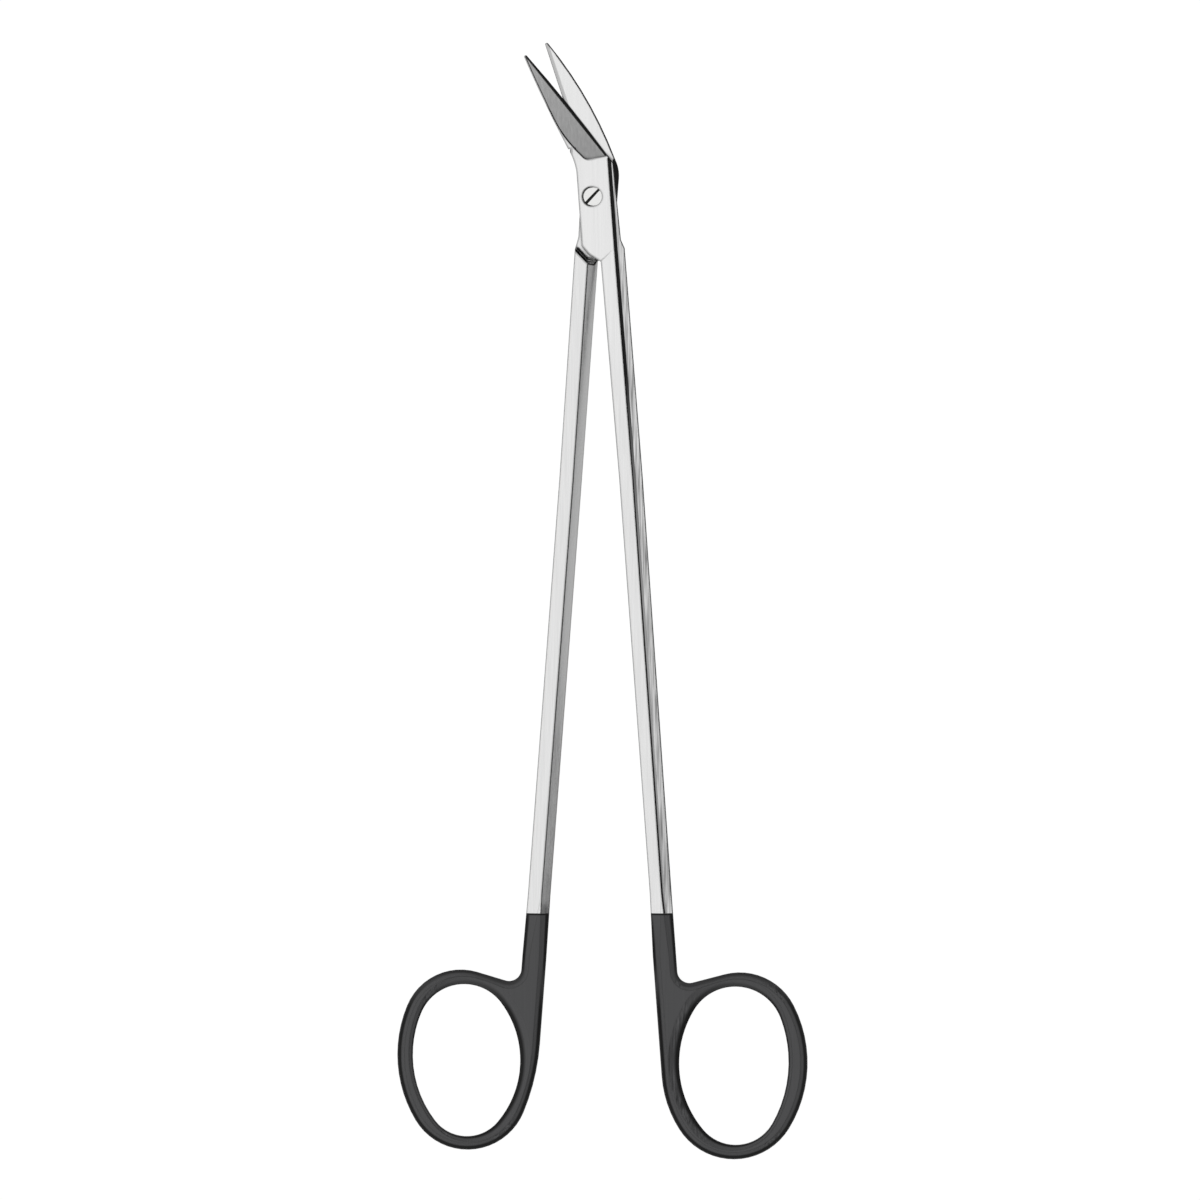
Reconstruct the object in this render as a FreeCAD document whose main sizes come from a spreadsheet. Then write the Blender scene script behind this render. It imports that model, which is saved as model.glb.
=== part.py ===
import FreeCAD, Part
import Sketcher
import math
import os

# Angled vascular scissors, 190 mm long, lying flat. +Z is up, the blades point to +Y and
# the origin is on the axis of the pivot screw, in the plane that the joint rests on.
# Both limbs are drawn alike: shank along -Y, inner edge to the left, outer edge to the
# right, back face low and show face high. The front limb is then turned about the pivot,
# and the rear limb is turned over on its back first, so that its show face lies below.

SIZES = {
    # joint
    "joint_thickness": 4.4,
    "lap_gap": 0.04,
    "front_turn": 4.2,
    "rear_turn": 4.29,
    "shoulder_start": -9.3,
    "shoulder_middle": -11.34,
    "shoulder_end": -11.42,
    "groove_width": 1.1,
    "groove_depth": 0.5,
    "groove_floor": 0.1,
    "boss_bevel": 1.2,
    # pivot screw
    "head_radius": 1.65,
    "head_depth": 0.9,
    "head_bevel": 0.16,
    "shaft_radius": 1.1,
    "screw_gap": 0.03,
    "slot_width": 0.42,
    "slot_depth": 0.45,
    "slot_turn": 47.0,
    # section of the shank: a roof on each face, with the ridges off the middle
    "show_bevel": 1.75,
    "show_break": 1.2,
    "show_break_drop": 0.2,
    "back_bevel": 2.25,
    "ridge_flat": 0.08,
    "joint_station": -9.1,
    "joint_back": 0.15,
    "joint_inner_low": 3.2,
    "joint_outer_high": 3.1,
    "joint_outer_low": 1.1,
    "middle_station": -48.0,
    "middle_show": 4.2,
    "middle_back": 0.2,
    "middle_inner_high": 3.7,
    "middle_inner_low": 2.5,
    "middle_outer_high": 3.0,
    "middle_outer_low": 1.2,
    "end_run": 29.96,
    "end_show": 4.0,
    "end_back": 0.4,
    "end_inner_high": 3.3,
    "end_inner_low": 1.9,
    "end_outer_high": 2.95,
    "end_outer_low": 1.4,
    # finger rings: egg-shaped, with their middles a given way below the pivot
    "handle_reach": 148.96,
    "neck_run": 19.36,
    "ring_thickness": 3.4,
    "ring_bevel": 1.2,
    "hole_shift_x": -0.28,
    "hole_shift_y": -0.82,
    "hole_bevel_depth": 0.95,
    "hole_bevel_grow": 1.25,
    "hole_bevel_shift_x": -0.6,
    "hole_bevel_shift_y": 0.45,
    "hole_bevel_foot": 0.12,
    "neck_radius": 2.1,
    # blades
    "tip_nose": 0.27,
    "tip_fullness": 1.1,
    "edge_thickness": 0.14,
    "grind_angle": 20.0,
    "grind_along": 3.2,
    "grind_across": 3.8,
    "grind_corner": 1.3,
    "grind_step_turn": 63.7,
    "grind_strip_turn": 4.2,
    "grind_run": 11.0,
    "grind_curve": 27.0,
    "taper_start": 6.3,
    "taper_slope": 5.0,
    # how far a cut reaches past the metal
    "cut_margin": 2.0,
}

FRONT_SIZES = {
    "tip_radius": 26.5,
    "tip_angle": 111.25,
    "edge_root_x": 3.95,
    "edge_root_y": 5.5,
    "edge_curve": 260.0,
    "side_x": 4.32,
    "side_y": -7.7,
    "joint_outer": 4.85,
    "joint_inner": 0.6,
    "middle_outer": 5.06,
    "middle_inner": 1.05,
    "end_outer": 4.78,
    "end_inner": 1.08,
    "crotch_y": -11.1,
    "corner_x": -1.28,
    "corner_y": -9.7,
    "boss_x": -2.38,
    "boss_low": -8.2,
    "boss_high": 4.4,
    "boss_bend": 11.0,
    "spine_x": -3.5,
    "spine_y": 8.4,
    "spine_curve": 220.0,
    "neck_outer": 4.77,
    "neck_inner": 0.81,
    "neck_slope": 10.46,
    "ring_x": 13.72,
    "ring_rise": 0.0,
    "ring_half_gap": 5.23,
    "ring_lean": 9.66,
    "ring_top_end": 10.35,
    "ring_bottom_end": 11.02,
    "ring_inner_flank": 19.49,
    "ring_outer_flank": 21.38,
    "hole_stretch": 0.58,
    "hole_lean": 3.8,
    "hole_top_end": 8.2,
    "hole_bottom_end": 7.18,
    "hole_inner_flank": 17.68,
    "hole_outer_flank": 21.15,
}

REAR_SIZES = {
    "tip_radius": 27.2,
    "tip_angle": 69.1,
    "edge_root_x": 2.1,
    "edge_root_y": 6.6,
    "edge_curve": 900.0,
    "side_x": 1.85,
    "side_y": -7.0,
    "joint_outer": 2.3,
    "joint_inner": -1.75,
    "middle_outer": 2.0,
    "middle_inner": -1.83,
    "end_outer": 2.04,
    "end_inner": -1.78,
    "crotch_y": -10.8,
    "corner_x": -3.3,
    "corner_y": -9.3,
    "boss_x": -4.28,
    "boss_low": -7.6,
    "boss_high": 3.6,
    "boss_bend": 6.0,
    "spine_x": -3.4,
    "spine_y": 6.7,
    "spine_curve": 70.0,
    "neck_outer": 2.2,
    "neck_inner": -1.89,
    "neck_slope": 12.54,
    "ring_x": 10.78,
    "ring_rise": 1.13,
    "ring_half_gap": 5.24,
    "ring_lean": 10.66,
    "ring_top_end": 9.89,
    "ring_bottom_end": 10.32,
    "ring_inner_flank": 38.05,
    "ring_outer_flank": 21.81,
    "hole_stretch": 0.4,
    "hole_lean": 6.62,
    "hole_top_end": 7.86,
    "hole_bottom_end": 6.82,
    "hole_inner_flank": 16.35,
    "hole_outer_flank": 18.41,
}

# places that follow from the sizes, the same for both limbs
PLACES = {
    "lap_face": "(sizes.joint_thickness + sizes.lap_gap) / 2",
    "lap_height": "(sizes.joint_thickness - sizes.lap_gap) / 2",
    "ring_low": "(sizes.joint_thickness - sizes.ring_thickness) / 2",
    "ring_high": "(sizes.joint_thickness + sizes.ring_thickness) / 2",
    "wall_low": "(sizes.joint_thickness - sizes.ring_thickness) / 2 + sizes.ring_bevel",
    "wall_high": "(sizes.joint_thickness + sizes.ring_thickness) / 2 - sizes.ring_bevel",
    "joint_break_high": "sizes.joint_outer_high - sizes.show_break_drop"
                        " + (sizes.joint_thickness - sizes.joint_outer_high)"
                        " * sizes.show_break / sizes.show_bevel",
    "middle_break_high": "sizes.middle_outer_high - sizes.show_break_drop"
                         " + (sizes.middle_show - sizes.middle_outer_high)"
                         " * sizes.show_break / sizes.show_bevel",
    "end_break_high": "sizes.end_outer_high - sizes.show_break_drop"
                      " + (sizes.end_show - sizes.end_outer_high)"
                      " * sizes.show_break / sizes.show_bevel",
    "neck_break_high": "(sizes.joint_thickness + sizes.ring_thickness) / 2 - sizes.ring_bevel / 2",
    "foot_high": "places.ring_high - sizes.hole_bevel_depth",
    "foot_low": "places.ring_low + sizes.hole_bevel_depth",
    "boss_bevel_high": "places.lap_face + sizes.boss_bevel + sizes.cut_margin",
    "groove_start": "sizes.shoulder_start + sizes.groove_width",
    "groove_middle": "sizes.shoulder_middle + sizes.groove_width",
    "groove_end": "sizes.shoulder_end + sizes.groove_width",
    "groove_high": "places.lap_face + sizes.groove_depth",
    "floor_near": "(sizes.groove_width - sizes.groove_floor) / 2",
    "floor_far": "(sizes.groove_width + sizes.groove_floor) / 2",
    "floor_near_start": "sizes.shoulder_start + places.floor_near",
    "floor_near_middle": "sizes.shoulder_middle + places.floor_near",
    "floor_near_end": "sizes.shoulder_end + places.floor_near",
    "floor_far_start": "sizes.shoulder_start + places.floor_far",
    "floor_far_middle": "sizes.shoulder_middle + places.floor_far",
    "floor_far_end": "sizes.shoulder_end + places.floor_far",
    "head_foot": "sizes.joint_thickness - sizes.head_depth",
    "head_flat": "sizes.head_radius - sizes.head_bevel",
    "head_side": "sizes.joint_thickness - sizes.head_bevel",
    "bore_radius": "sizes.shaft_radius + sizes.screw_gap",
    "seat_radius": "sizes.head_radius + sizes.screw_gap",
    "seat_foot": "sizes.joint_thickness - sizes.head_depth - sizes.screw_gap",
    "end_station": "-(sizes.handle_reach - sizes.end_run)",
    "neck_station": "-(sizes.handle_reach - sizes.neck_run)",
    "tip_round": "sizes.tip_nose * sizes.tip_fullness",
    "blade_far": "max(sizes.front_tip_radius; sizes.rear_tip_radius) + sizes.cut_margin",
    "taper_low": "sizes.joint_thickness"
                 " - (places.blade_far - sizes.taper_start) * tan(sizes.taper_slope)",
    "above": "sizes.joint_thickness + sizes.cut_margin",
    "slot_low": "sizes.joint_thickness - sizes.slot_depth",
    "slot_left": "-sizes.slot_width / 2",
    "slot_right": "sizes.slot_width / 2",
    "slot_reach_low": "-(sizes.head_radius + sizes.cut_margin)",
    "slot_reach_high": "sizes.head_radius + sizes.cut_margin",
    "zero": "0",
    "grind_near": "-sizes.cut_margin",
    "grind_heel": "sizes.grind_along"
                  " - (sizes.grind_across + sizes.cut_margin) / tan(sizes.grind_step_turn)",
    "grind_far_across": "sizes.grind_across"
                        " - (places.blade_far - sizes.grind_along) * tan(sizes.grind_strip_turn)",
    "grind_reach": "sizes.grind_corner"
                   " * tan((sizes.grind_step_turn + sizes.grind_strip_turn) / 2)",
    "grind_a_x": "sizes.grind_along - places.grind_reach * cos(sizes.grind_step_turn)",
    "grind_a_y": "sizes.grind_across - places.grind_reach * sin(sizes.grind_step_turn)",
    "grind_b_x": "sizes.grind_along + places.grind_reach * cos(sizes.grind_strip_turn)",
    "grind_b_y": "sizes.grind_across - places.grind_reach * sin(sizes.grind_strip_turn)",
    "grind_c_x": "sizes.grind_along + sizes.grind_run * cos(sizes.grind_strip_turn)",
    "grind_c_y": "sizes.grind_across - sizes.grind_run * sin(sizes.grind_strip_turn)",
}

# the same for each limb, with LIMB standing for its name
LIMB_PLACES = {
    "tip_edge_x": "sizes.LIMB_tip_radius * cos(sizes.LIMB_tip_angle)"
                  " + sizes.tip_nose * sin(sizes.LIMB_tip_angle)",
    "tip_edge_y": "sizes.LIMB_tip_radius * sin(sizes.LIMB_tip_angle)"
                  " - sizes.tip_nose * cos(sizes.LIMB_tip_angle)",
    "tip_spine_x": "sizes.LIMB_tip_radius * cos(sizes.LIMB_tip_angle)"
                   " - sizes.tip_nose * sin(sizes.LIMB_tip_angle)",
    "tip_spine_y": "sizes.LIMB_tip_radius * sin(sizes.LIMB_tip_angle)"
                   " + sizes.tip_nose * cos(sizes.LIMB_tip_angle)",
    "joint_break_x": "sizes.LIMB_joint_outer - sizes.show_break",
    "middle_break_x": "sizes.LIMB_middle_outer - sizes.show_break",
    "end_break_x": "sizes.LIMB_end_outer - sizes.show_break",
    "neck_break_x": "sizes.LIMB_neck_outer - sizes.ring_bevel / 2",
    "joint_show_x": "sizes.LIMB_joint_outer - sizes.show_bevel",
    "joint_show_in_x": "sizes.LIMB_joint_outer - sizes.show_bevel - sizes.ridge_flat",
    "joint_back_x": "sizes.LIMB_joint_outer - sizes.back_bevel",
    "joint_back_in_x": "sizes.LIMB_joint_outer - sizes.back_bevel - sizes.ridge_flat",
    "middle_show_x": "sizes.LIMB_middle_outer - sizes.show_bevel",
    "middle_show_in_x": "sizes.LIMB_middle_outer - sizes.show_bevel - sizes.ridge_flat",
    "middle_back_x": "sizes.LIMB_middle_outer - sizes.back_bevel",
    "middle_back_in_x": "sizes.LIMB_middle_outer - sizes.back_bevel - sizes.ridge_flat",
    "end_show_x": "sizes.LIMB_end_outer - sizes.show_bevel",
    "end_show_in_x": "sizes.LIMB_end_outer - sizes.show_bevel - sizes.ridge_flat",
    "end_back_x": "sizes.LIMB_end_outer - sizes.back_bevel",
    "end_back_in_x": "sizes.LIMB_end_outer - sizes.back_bevel - sizes.ridge_flat",
    "neck_flat_out": "sizes.LIMB_neck_outer - sizes.ring_bevel",
    "neck_flat_in": "sizes.LIMB_neck_inner + sizes.ring_bevel",
    "neck_turn": "sizes.LIMB_neck_slope + 180",
    "bevel_far_x": "sizes.LIMB_joint_outer + sizes.cut_margin",
    "bevel_far_low": "sizes.joint_outer_high"
                     " - (places.joint_break_high - sizes.joint_outer_high)"
                     " * sizes.cut_margin / sizes.show_break",
    "boss_in_x": "sizes.LIMB_boss_x + sizes.boss_bevel",
    "boss_out_x": "sizes.LIMB_boss_x - sizes.cut_margin",
    "relief_right": "sizes.LIMB_joint_outer + sizes.cut_margin",
    "relief_left": "sizes.LIMB_boss_x - sizes.cut_margin",
    "ring_y": "sizes.LIMB_ring_rise - sizes.handle_reach",
    "hole_x": "sizes.LIMB_ring_x + sizes.hole_shift_x",
    "hole_y": "places.LIMB_ring_y + sizes.hole_shift_y",
    "hole_half_gap": "sizes.LIMB_ring_half_gap + sizes.LIMB_hole_stretch",
    "ring_top_x": "sizes.LIMB_ring_x + sizes.LIMB_ring_half_gap * sin(sizes.LIMB_ring_lean)",
    "ring_top_y": "places.LIMB_ring_y + sizes.LIMB_ring_half_gap * cos(sizes.LIMB_ring_lean)",
    "ring_bottom_x": "sizes.LIMB_ring_x - sizes.LIMB_ring_half_gap * sin(sizes.LIMB_ring_lean)",
    "ring_bottom_y": "places.LIMB_ring_y - sizes.LIMB_ring_half_gap * cos(sizes.LIMB_ring_lean)",
    "hole_top_x": "places.LIMB_hole_x + places.LIMB_hole_half_gap * sin(sizes.LIMB_hole_lean)",
    "hole_top_y": "places.LIMB_hole_y + places.LIMB_hole_half_gap * cos(sizes.LIMB_hole_lean)",
    "hole_bottom_x": "places.LIMB_hole_x - places.LIMB_hole_half_gap * sin(sizes.LIMB_hole_lean)",
    "hole_bottom_y": "places.LIMB_hole_y - places.LIMB_hole_half_gap * cos(sizes.LIMB_hole_lean)",
    "wide_top_x": "places.LIMB_hole_top_x + sizes.hole_bevel_shift_x",
    "wide_top_y": "places.LIMB_hole_top_y + sizes.hole_bevel_shift_y",
    "wide_bottom_x": "places.LIMB_hole_bottom_x + sizes.hole_bevel_shift_x",
    "wide_bottom_y": "places.LIMB_hole_bottom_y + sizes.hole_bevel_shift_y",
    "wide_top_end": "sizes.LIMB_hole_top_end + sizes.hole_bevel_grow",
    "wide_bottom_end": "sizes.LIMB_hole_bottom_end + sizes.hole_bevel_grow",
    "wide_inner_flank": "sizes.LIMB_hole_inner_flank + sizes.hole_bevel_grow",
    "wide_outer_flank": "sizes.LIMB_hole_outer_flank + sizes.hole_bevel_grow",
    "foot_top_x": "places.LIMB_hole_top_x",
    "foot_top_y": "places.LIMB_hole_top_y",
    "foot_bottom_x": "places.LIMB_hole_bottom_x",
    "foot_bottom_y": "places.LIMB_hole_bottom_y",
    "foot_top_end": "sizes.LIMB_hole_top_end - sizes.hole_bevel_foot",
    "foot_bottom_end": "sizes.LIMB_hole_bottom_end - sizes.hole_bevel_foot",
    "foot_inner_flank": "sizes.LIMB_hole_inner_flank - sizes.hole_bevel_foot",
    "foot_outer_flank": "sizes.LIMB_hole_outer_flank - sizes.hole_bevel_foot",
}

doc = FreeCAD.newDocument("vascular_scissors")


def fillSheet(name, rows, start):
    sheet = doc.addObject("Spreadsheet::Sheet", name)
    for row, (alias, content) in enumerate(rows.items(), start=1):
        sheet.set("A%d" % row, alias)
        sheet.setAlias("B%d" % row, alias)
        sheet.set("B%d" % row, start + str(content))
    doc.recompute()
    return sheet


allSizes = dict(SIZES)
allPlaces = dict(PLACES)
for limbName, limbSizes in (("front", FRONT_SIZES), ("rear", REAR_SIZES)):
    for alias, number in limbSizes.items():
        allSizes[limbName + "_" + alias] = number
    for alias, formula in LIMB_PLACES.items():
        allPlaces[limbName + "_" + alias] = formula.replace("LIMB", limbName)
sizes = fillSheet("sizes", allSizes, "")
places = fillSheet("places", allPlaces, "=")


def cell(alias):
    return ("sizes." if alias in allSizes else "places.") + alias


def value(alias):
    sheet = sizes if alias in allSizes else places
    return float(sheet.get(alias))


def originPlane(body, role):
    return [feature for feature in body.Origin.OriginFeatures if feature.Role == role][0]


def newSketch(body, name, role, offsetAlias=None, offsetSign=1):
    """A sketch on one of the body's own planes, moved along its normal."""
    sketch = body.newObject("Sketcher::SketchObject", name)
    sketch.AttachmentSupport = [(originPlane(body, role), "")]
    sketch.MapMode = "FlatFace"
    if offsetAlias:
        sketch.setExpression("AttachmentOffset.Base.z", "%d * %s" % (offsetSign, cell(offsetAlias)))
    return sketch


def hold(sketch, constraint, formula):
    index = sketch.addConstraint(constraint)
    sketch.setExpression("Constraints[%d]" % index, formula)


def pin(sketch, geometry, position, xAlias, yAlias):
    for kind, alias in (("DistanceX", xAlias), ("DistanceY", yAlias)):
        held = Sketcher.Constraint(kind, -1, 1, geometry, position, value(alias))
        hold(sketch, held, cell(alias))


def bulge(first, last, radius):
    """The height of an arc over its chord."""
    half = (last - first).Length / 2
    return radius - math.sqrt(radius * radius - half * half)


def drawOutline(sketch, corners):
    """A closed outline through corners, each with the radius alias of the edge that follows.
    A minus before the alias bends that edge to the left of its way, otherwise to the right."""
    points = [FreeCAD.Vector(value(x), value(y), 0) for x, y, bend in corners]
    ends = []
    for index, (x, y, bend) in enumerate(corners):
        first = points[index]
        last = points[(index + 1) % len(points)]
        if not bend:
            number = sketch.addGeometry(Part.LineSegment(first, last), False)
            ends.append((number, 1, 2))
            continue
        alias = bend.lstrip("-")
        right = (last - first).cross(FreeCAD.Vector(0, 0, 1)).normalize()
        side = right * (-1 if bend.startswith("-") else 1)
        middle = (first + last) / 2 + side * bulge(first, last, value(alias))
        if bend.startswith("-"):
            number = sketch.addGeometry(Part.Arc(last, middle, first), False)
            ends.append((number, 2, 1))
        else:
            number = sketch.addGeometry(Part.Arc(first, middle, last), False)
            ends.append((number, 1, 2))
        hold(sketch, Sketcher.Constraint("Radius", number, value(alias)), cell(alias))
    for index, (number, start, end) in enumerate(ends):
        after = ends[(index + 1) % len(ends)]
        sketch.addConstraint(Sketcher.Constraint("Coincident", number, end, after[0], after[1]))
        pin(sketch, number, start, corners[index][0], corners[index][1])


def arcBetween(center, radius, first, last):
    """The arc from one angle to another, anticlockwise."""
    circle = Part.Circle(center, FreeCAD.Vector(0, 0, 1), radius)
    return Part.ArcOfCircle(circle, first, first + (last - first) % math.tau)


def heading(start, end):
    return math.atan2(end.y - start.y, end.x - start.x)


def flankCenter(top, topEnd, bottom, bottomEnd, flank, side):
    """The middle of a flank arc that touches both end arcs from outside of them."""
    gap = (top - bottom).Length
    axis = (top - bottom).normalize()
    across = axis.cross(FreeCAD.Vector(0, 0, 1))
    along = ((flank - bottomEnd) ** 2 - (flank - topEnd) ** 2 + gap ** 2) / (2 * gap)
    return bottom + axis * along + across * side * math.sqrt((flank - bottomEnd) ** 2 - along ** 2)


def endArcs(limb, name):
    top = FreeCAD.Vector(value(limb + name + "_top_x"), value(limb + name + "_top_y"), 0)
    bottom = FreeCAD.Vector(value(limb + name + "_bottom_x"), value(limb + name + "_bottom_y"), 0)
    return top, value(limb + name + "_top_end"), bottom, value(limb + name + "_bottom_end")


def drawHole(sketch, limb, name):
    """Two end arcs and two flank arcs, each tangent to the next."""
    top, topEnd, bottom, bottomEnd = endArcs(limb, name)
    innerFlank = value(limb + name + "_inner_flank")
    outerFlank = value(limb + name + "_outer_flank")
    left = flankCenter(top, topEnd, bottom, bottomEnd, innerFlank, 1)
    right = flankCenter(top, topEnd, bottom, bottomEnd, outerFlank, -1)
    arcs = [
        arcBetween(top, topEnd, heading(right, top), heading(left, top)),
        arcBetween(left, innerFlank, heading(left, top), heading(left, bottom)),
        arcBetween(bottom, bottomEnd, heading(left, bottom), heading(right, bottom)),
        arcBetween(right, outerFlank, heading(right, bottom), heading(right, top)),
    ]
    numbers = [sketch.addGeometry(arc, False) for arc in arcs]
    for index, number in enumerate(numbers):
        after = numbers[(index + 1) % len(numbers)]
        sketch.addConstraint(Sketcher.Constraint("Tangent", number, 2, after, 1))
    pin(sketch, numbers[0], 3, limb + name + "_top_x", limb + name + "_top_y")
    pin(sketch, numbers[2], 3, limb + name + "_bottom_x", limb + name + "_bottom_y")
    for number, arc in zip(numbers, ("_top_end", "_inner_flank", "_bottom_end", "_outer_flank")):
        held = Sketcher.Constraint("Radius", number, value(limb + name + arc))
        hold(sketch, held, cell(limb + name + arc))


def drawHandle(sketch, limb):
    """The ring's outer outline, which runs up both edges of the shank to the neck."""
    top, topEnd, bottom, bottomEnd = endArcs(limb, "ring")
    innerFlank = value(limb + "ring_inner_flank")
    outerFlank = value(limb + "ring_outer_flank")
    neck = value("neck_radius")
    inner = value(limb + "neck_inner")
    outer = value(limb + "neck_outer")
    start = value("neck_station")
    right = flankCenter(top, topEnd, bottom, bottomEnd, outerFlank, -1)
    side = inner + innerFlank - bottom.x
    left = FreeCAD.Vector(inner + innerFlank,
                          bottom.y + math.sqrt((innerFlank - bottomEnd) ** 2 - side ** 2), 0)
    slope = math.radians(value(limb + "neck_slope"))
    lean = FreeCAD.Vector(-math.sin(slope), math.cos(slope), 0)
    crest = top + lean * topEnd
    footX = outer + neck - lean.x * neck
    foot = FreeCAD.Vector(footX, crest.y - (crest.x - footX) * math.tan(slope), 0)
    fillet = foot + lean * neck
    upper = FreeCAD.Vector(outer, start, 0)
    lower = FreeCAD.Vector(inner, start, 0)
    pieces = [
        Part.LineSegment(lower, FreeCAD.Vector(inner, left.y, 0)),
        arcBetween(left, innerFlank, math.pi, heading(left, bottom)),
        arcBetween(bottom, bottomEnd, heading(left, bottom), heading(right, bottom)),
        arcBetween(right, outerFlank, heading(right, bottom), heading(right, top)),
        arcBetween(top, topEnd, heading(right, top), math.pi / 2 + slope),
        Part.LineSegment(crest, foot),
        arcBetween(fillet, neck, math.pi, slope - math.pi / 2),
        Part.LineSegment(FreeCAD.Vector(outer, fillet.y, 0), upper),
        Part.LineSegment(upper, lower),
    ]
    numbers = [sketch.addGeometry(piece, False) for piece in pieces]
    line, leftArc, bottomArc, rightArc, topArc, shoulder, neckArc, outerLine, closing = numbers
    for first, firstEnd, second, secondEnd in (
        (line, 2, leftArc, 1),
        (leftArc, 2, bottomArc, 1),
        (bottomArc, 2, rightArc, 1),
        (rightArc, 2, topArc, 1),
        (topArc, 2, shoulder, 1),
        (shoulder, 2, neckArc, 2),
        (neckArc, 1, outerLine, 1),
    ):
        sketch.addConstraint(Sketcher.Constraint("Tangent", first, firstEnd, second, secondEnd))
    sketch.addConstraint(Sketcher.Constraint("Coincident", outerLine, 2, closing, 1))
    sketch.addConstraint(Sketcher.Constraint("Coincident", closing, 2, line, 1))
    sketch.addConstraint(Sketcher.Constraint("Vertical", line))
    sketch.addConstraint(Sketcher.Constraint("Vertical", outerLine))
    turn = Sketcher.Constraint("Angle", shoulder, math.pi + slope)
    hold(sketch, turn, cell(limb + "neck_turn"))
    pin(sketch, outerLine, 2, limb + "neck_outer", "neck_station")
    pin(sketch, line, 1, limb + "neck_inner", "neck_station")
    pin(sketch, topArc, 3, limb + "ring_top_x", limb + "ring_top_y")
    pin(sketch, bottomArc, 3, limb + "ring_bottom_x", limb + "ring_bottom_y")
    for number, alias in (
        (topArc, limb + "ring_top_end"),
        (bottomArc, limb + "ring_bottom_end"),
        (rightArc, limb + "ring_outer_flank"),
        (leftArc, limb + "ring_inner_flank"),
        (neckArc, "neck_radius"),
    ):
        hold(sketch, Sketcher.Constraint("Radius", number, value(alias)), cell(alias))


def addPad(body, name, sketch, formula):
    pad = body.newObject("PartDesign::Pad", name)
    pad.Profile = sketch
    pad.setExpression("Length", formula)
    return pad


def addPocket(body, name, sketch, formula, reversedWay=False):
    pocket = body.newObject("PartDesign::Pocket", name)
    pocket.Profile = sketch
    pocket.Reversed = reversedWay
    pocket.setExpression("Length", formula)
    return pocket


def rimEdges(shape):
    """The edges round the outside of the ring, on both of its flat faces."""
    names = []
    for index, edge in enumerate(shape.Edges, start=1):
        level = edge.BoundBox.ZLength < value("lap_gap")
        closing = abs(edge.BoundBox.YMin - value("neck_station")) < value("lap_gap")
        if level and not closing:
            names.append("Edge%d" % index)
    return names


def addCut(body, name, profile, section):
    """A cut that runs straight from one outline to the other."""
    cut = body.newObject("PartDesign::SubtractiveLoft", name)
    cut.Profile = profile
    cut.Sections = [section]
    cut.Ruled = True
    doc.recompute()


def makeRing(body, limb):
    """The finger ring with the neck that leads into the shank. Both faces are bevelled all round,
    and the bevel of the finger hole is widest where the web joins the shank."""
    sketch = newSketch(body, limb + "ring_outline", "XY_Plane", "ring_low")
    drawHandle(sketch, limb)
    pad = addPad(body, limb + "ring", sketch, cell("ring_thickness"))
    doc.recompute()
    bevel = body.newObject("PartDesign::Chamfer", limb + "ring_bevels")
    bevel.Base = (pad, rimEdges(pad.Shape))
    bevel.setExpression("Size", cell("ring_bevel"))
    doc.recompute()
    hole = newSketch(body, limb + "hole_outline", "XY_Plane")
    drawHole(hole, limb, "hole")
    addPocket(body, limb + "hole", hole, "2 * sizes.joint_thickness", True)
    doc.recompute()
    for face in ("high", "low"):
        wide = newSketch(body, limb + "bevel_top_" + face, "XY_Plane", "ring_" + face)
        drawHole(wide, limb, "wide")
        foot = newSketch(body, limb + "bevel_foot_" + face, "XY_Plane", "foot_" + face)
        drawHole(foot, limb, "foot")
        addCut(body, limb + "hole_bevel_" + face, wide, foot)


def makeShank(body, limb):
    """The ridged shank, lofted through four sections from the joint to the neck."""
    stations = []
    for name in ("joint", "middle", "end"):
        high = "joint_thickness" if name == "joint" else name + "_show"
        corner = "joint_thickness" if name == "joint" else name + "_inner_high"
        stations.append((name + "_station", [
            (limb + name + "_inner", name + "_inner_low"),
            (limb + name + "_inner", corner),
            (limb + name + "_show_in_x", high),
            (limb + name + "_show_x", high),
            (limb + name + "_break_x", name + "_break_high"),
            (limb + name + "_outer", name + "_outer_high"),
            (limb + name + "_outer", name + "_outer_low"),
            (limb + name + "_back_x", name + "_back"),
            (limb + name + "_back_in_x", name + "_back"),
        ]))
    stations.append(("neck_station", [
        (limb + "neck_inner", "wall_low"),
        (limb + "neck_inner", "wall_high"),
        (limb + "neck_flat_in", "ring_high"),
        (limb + "neck_flat_out", "ring_high"),
        (limb + "neck_break_x", "neck_break_high"),
        (limb + "neck_outer", "wall_high"),
        (limb + "neck_outer", "wall_low"),
        (limb + "neck_flat_out", "ring_low"),
        (limb + "neck_flat_in", "ring_low"),
    ]))
    sketches = []
    for station, corners in stations:
        sketch = newSketch(body, limb + station, "XZ_Plane", station, -1)
        drawOutline(sketch, [(x, y, None) for x, y in corners])
        sketches.append(sketch)
    loft = body.newObject("PartDesign::AdditiveLoft", limb + "shank")
    loft.Profile = sketches[0]
    loft.Sections = sketches[1:]
    loft.Ruled = True
    doc.recompute()


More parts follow.
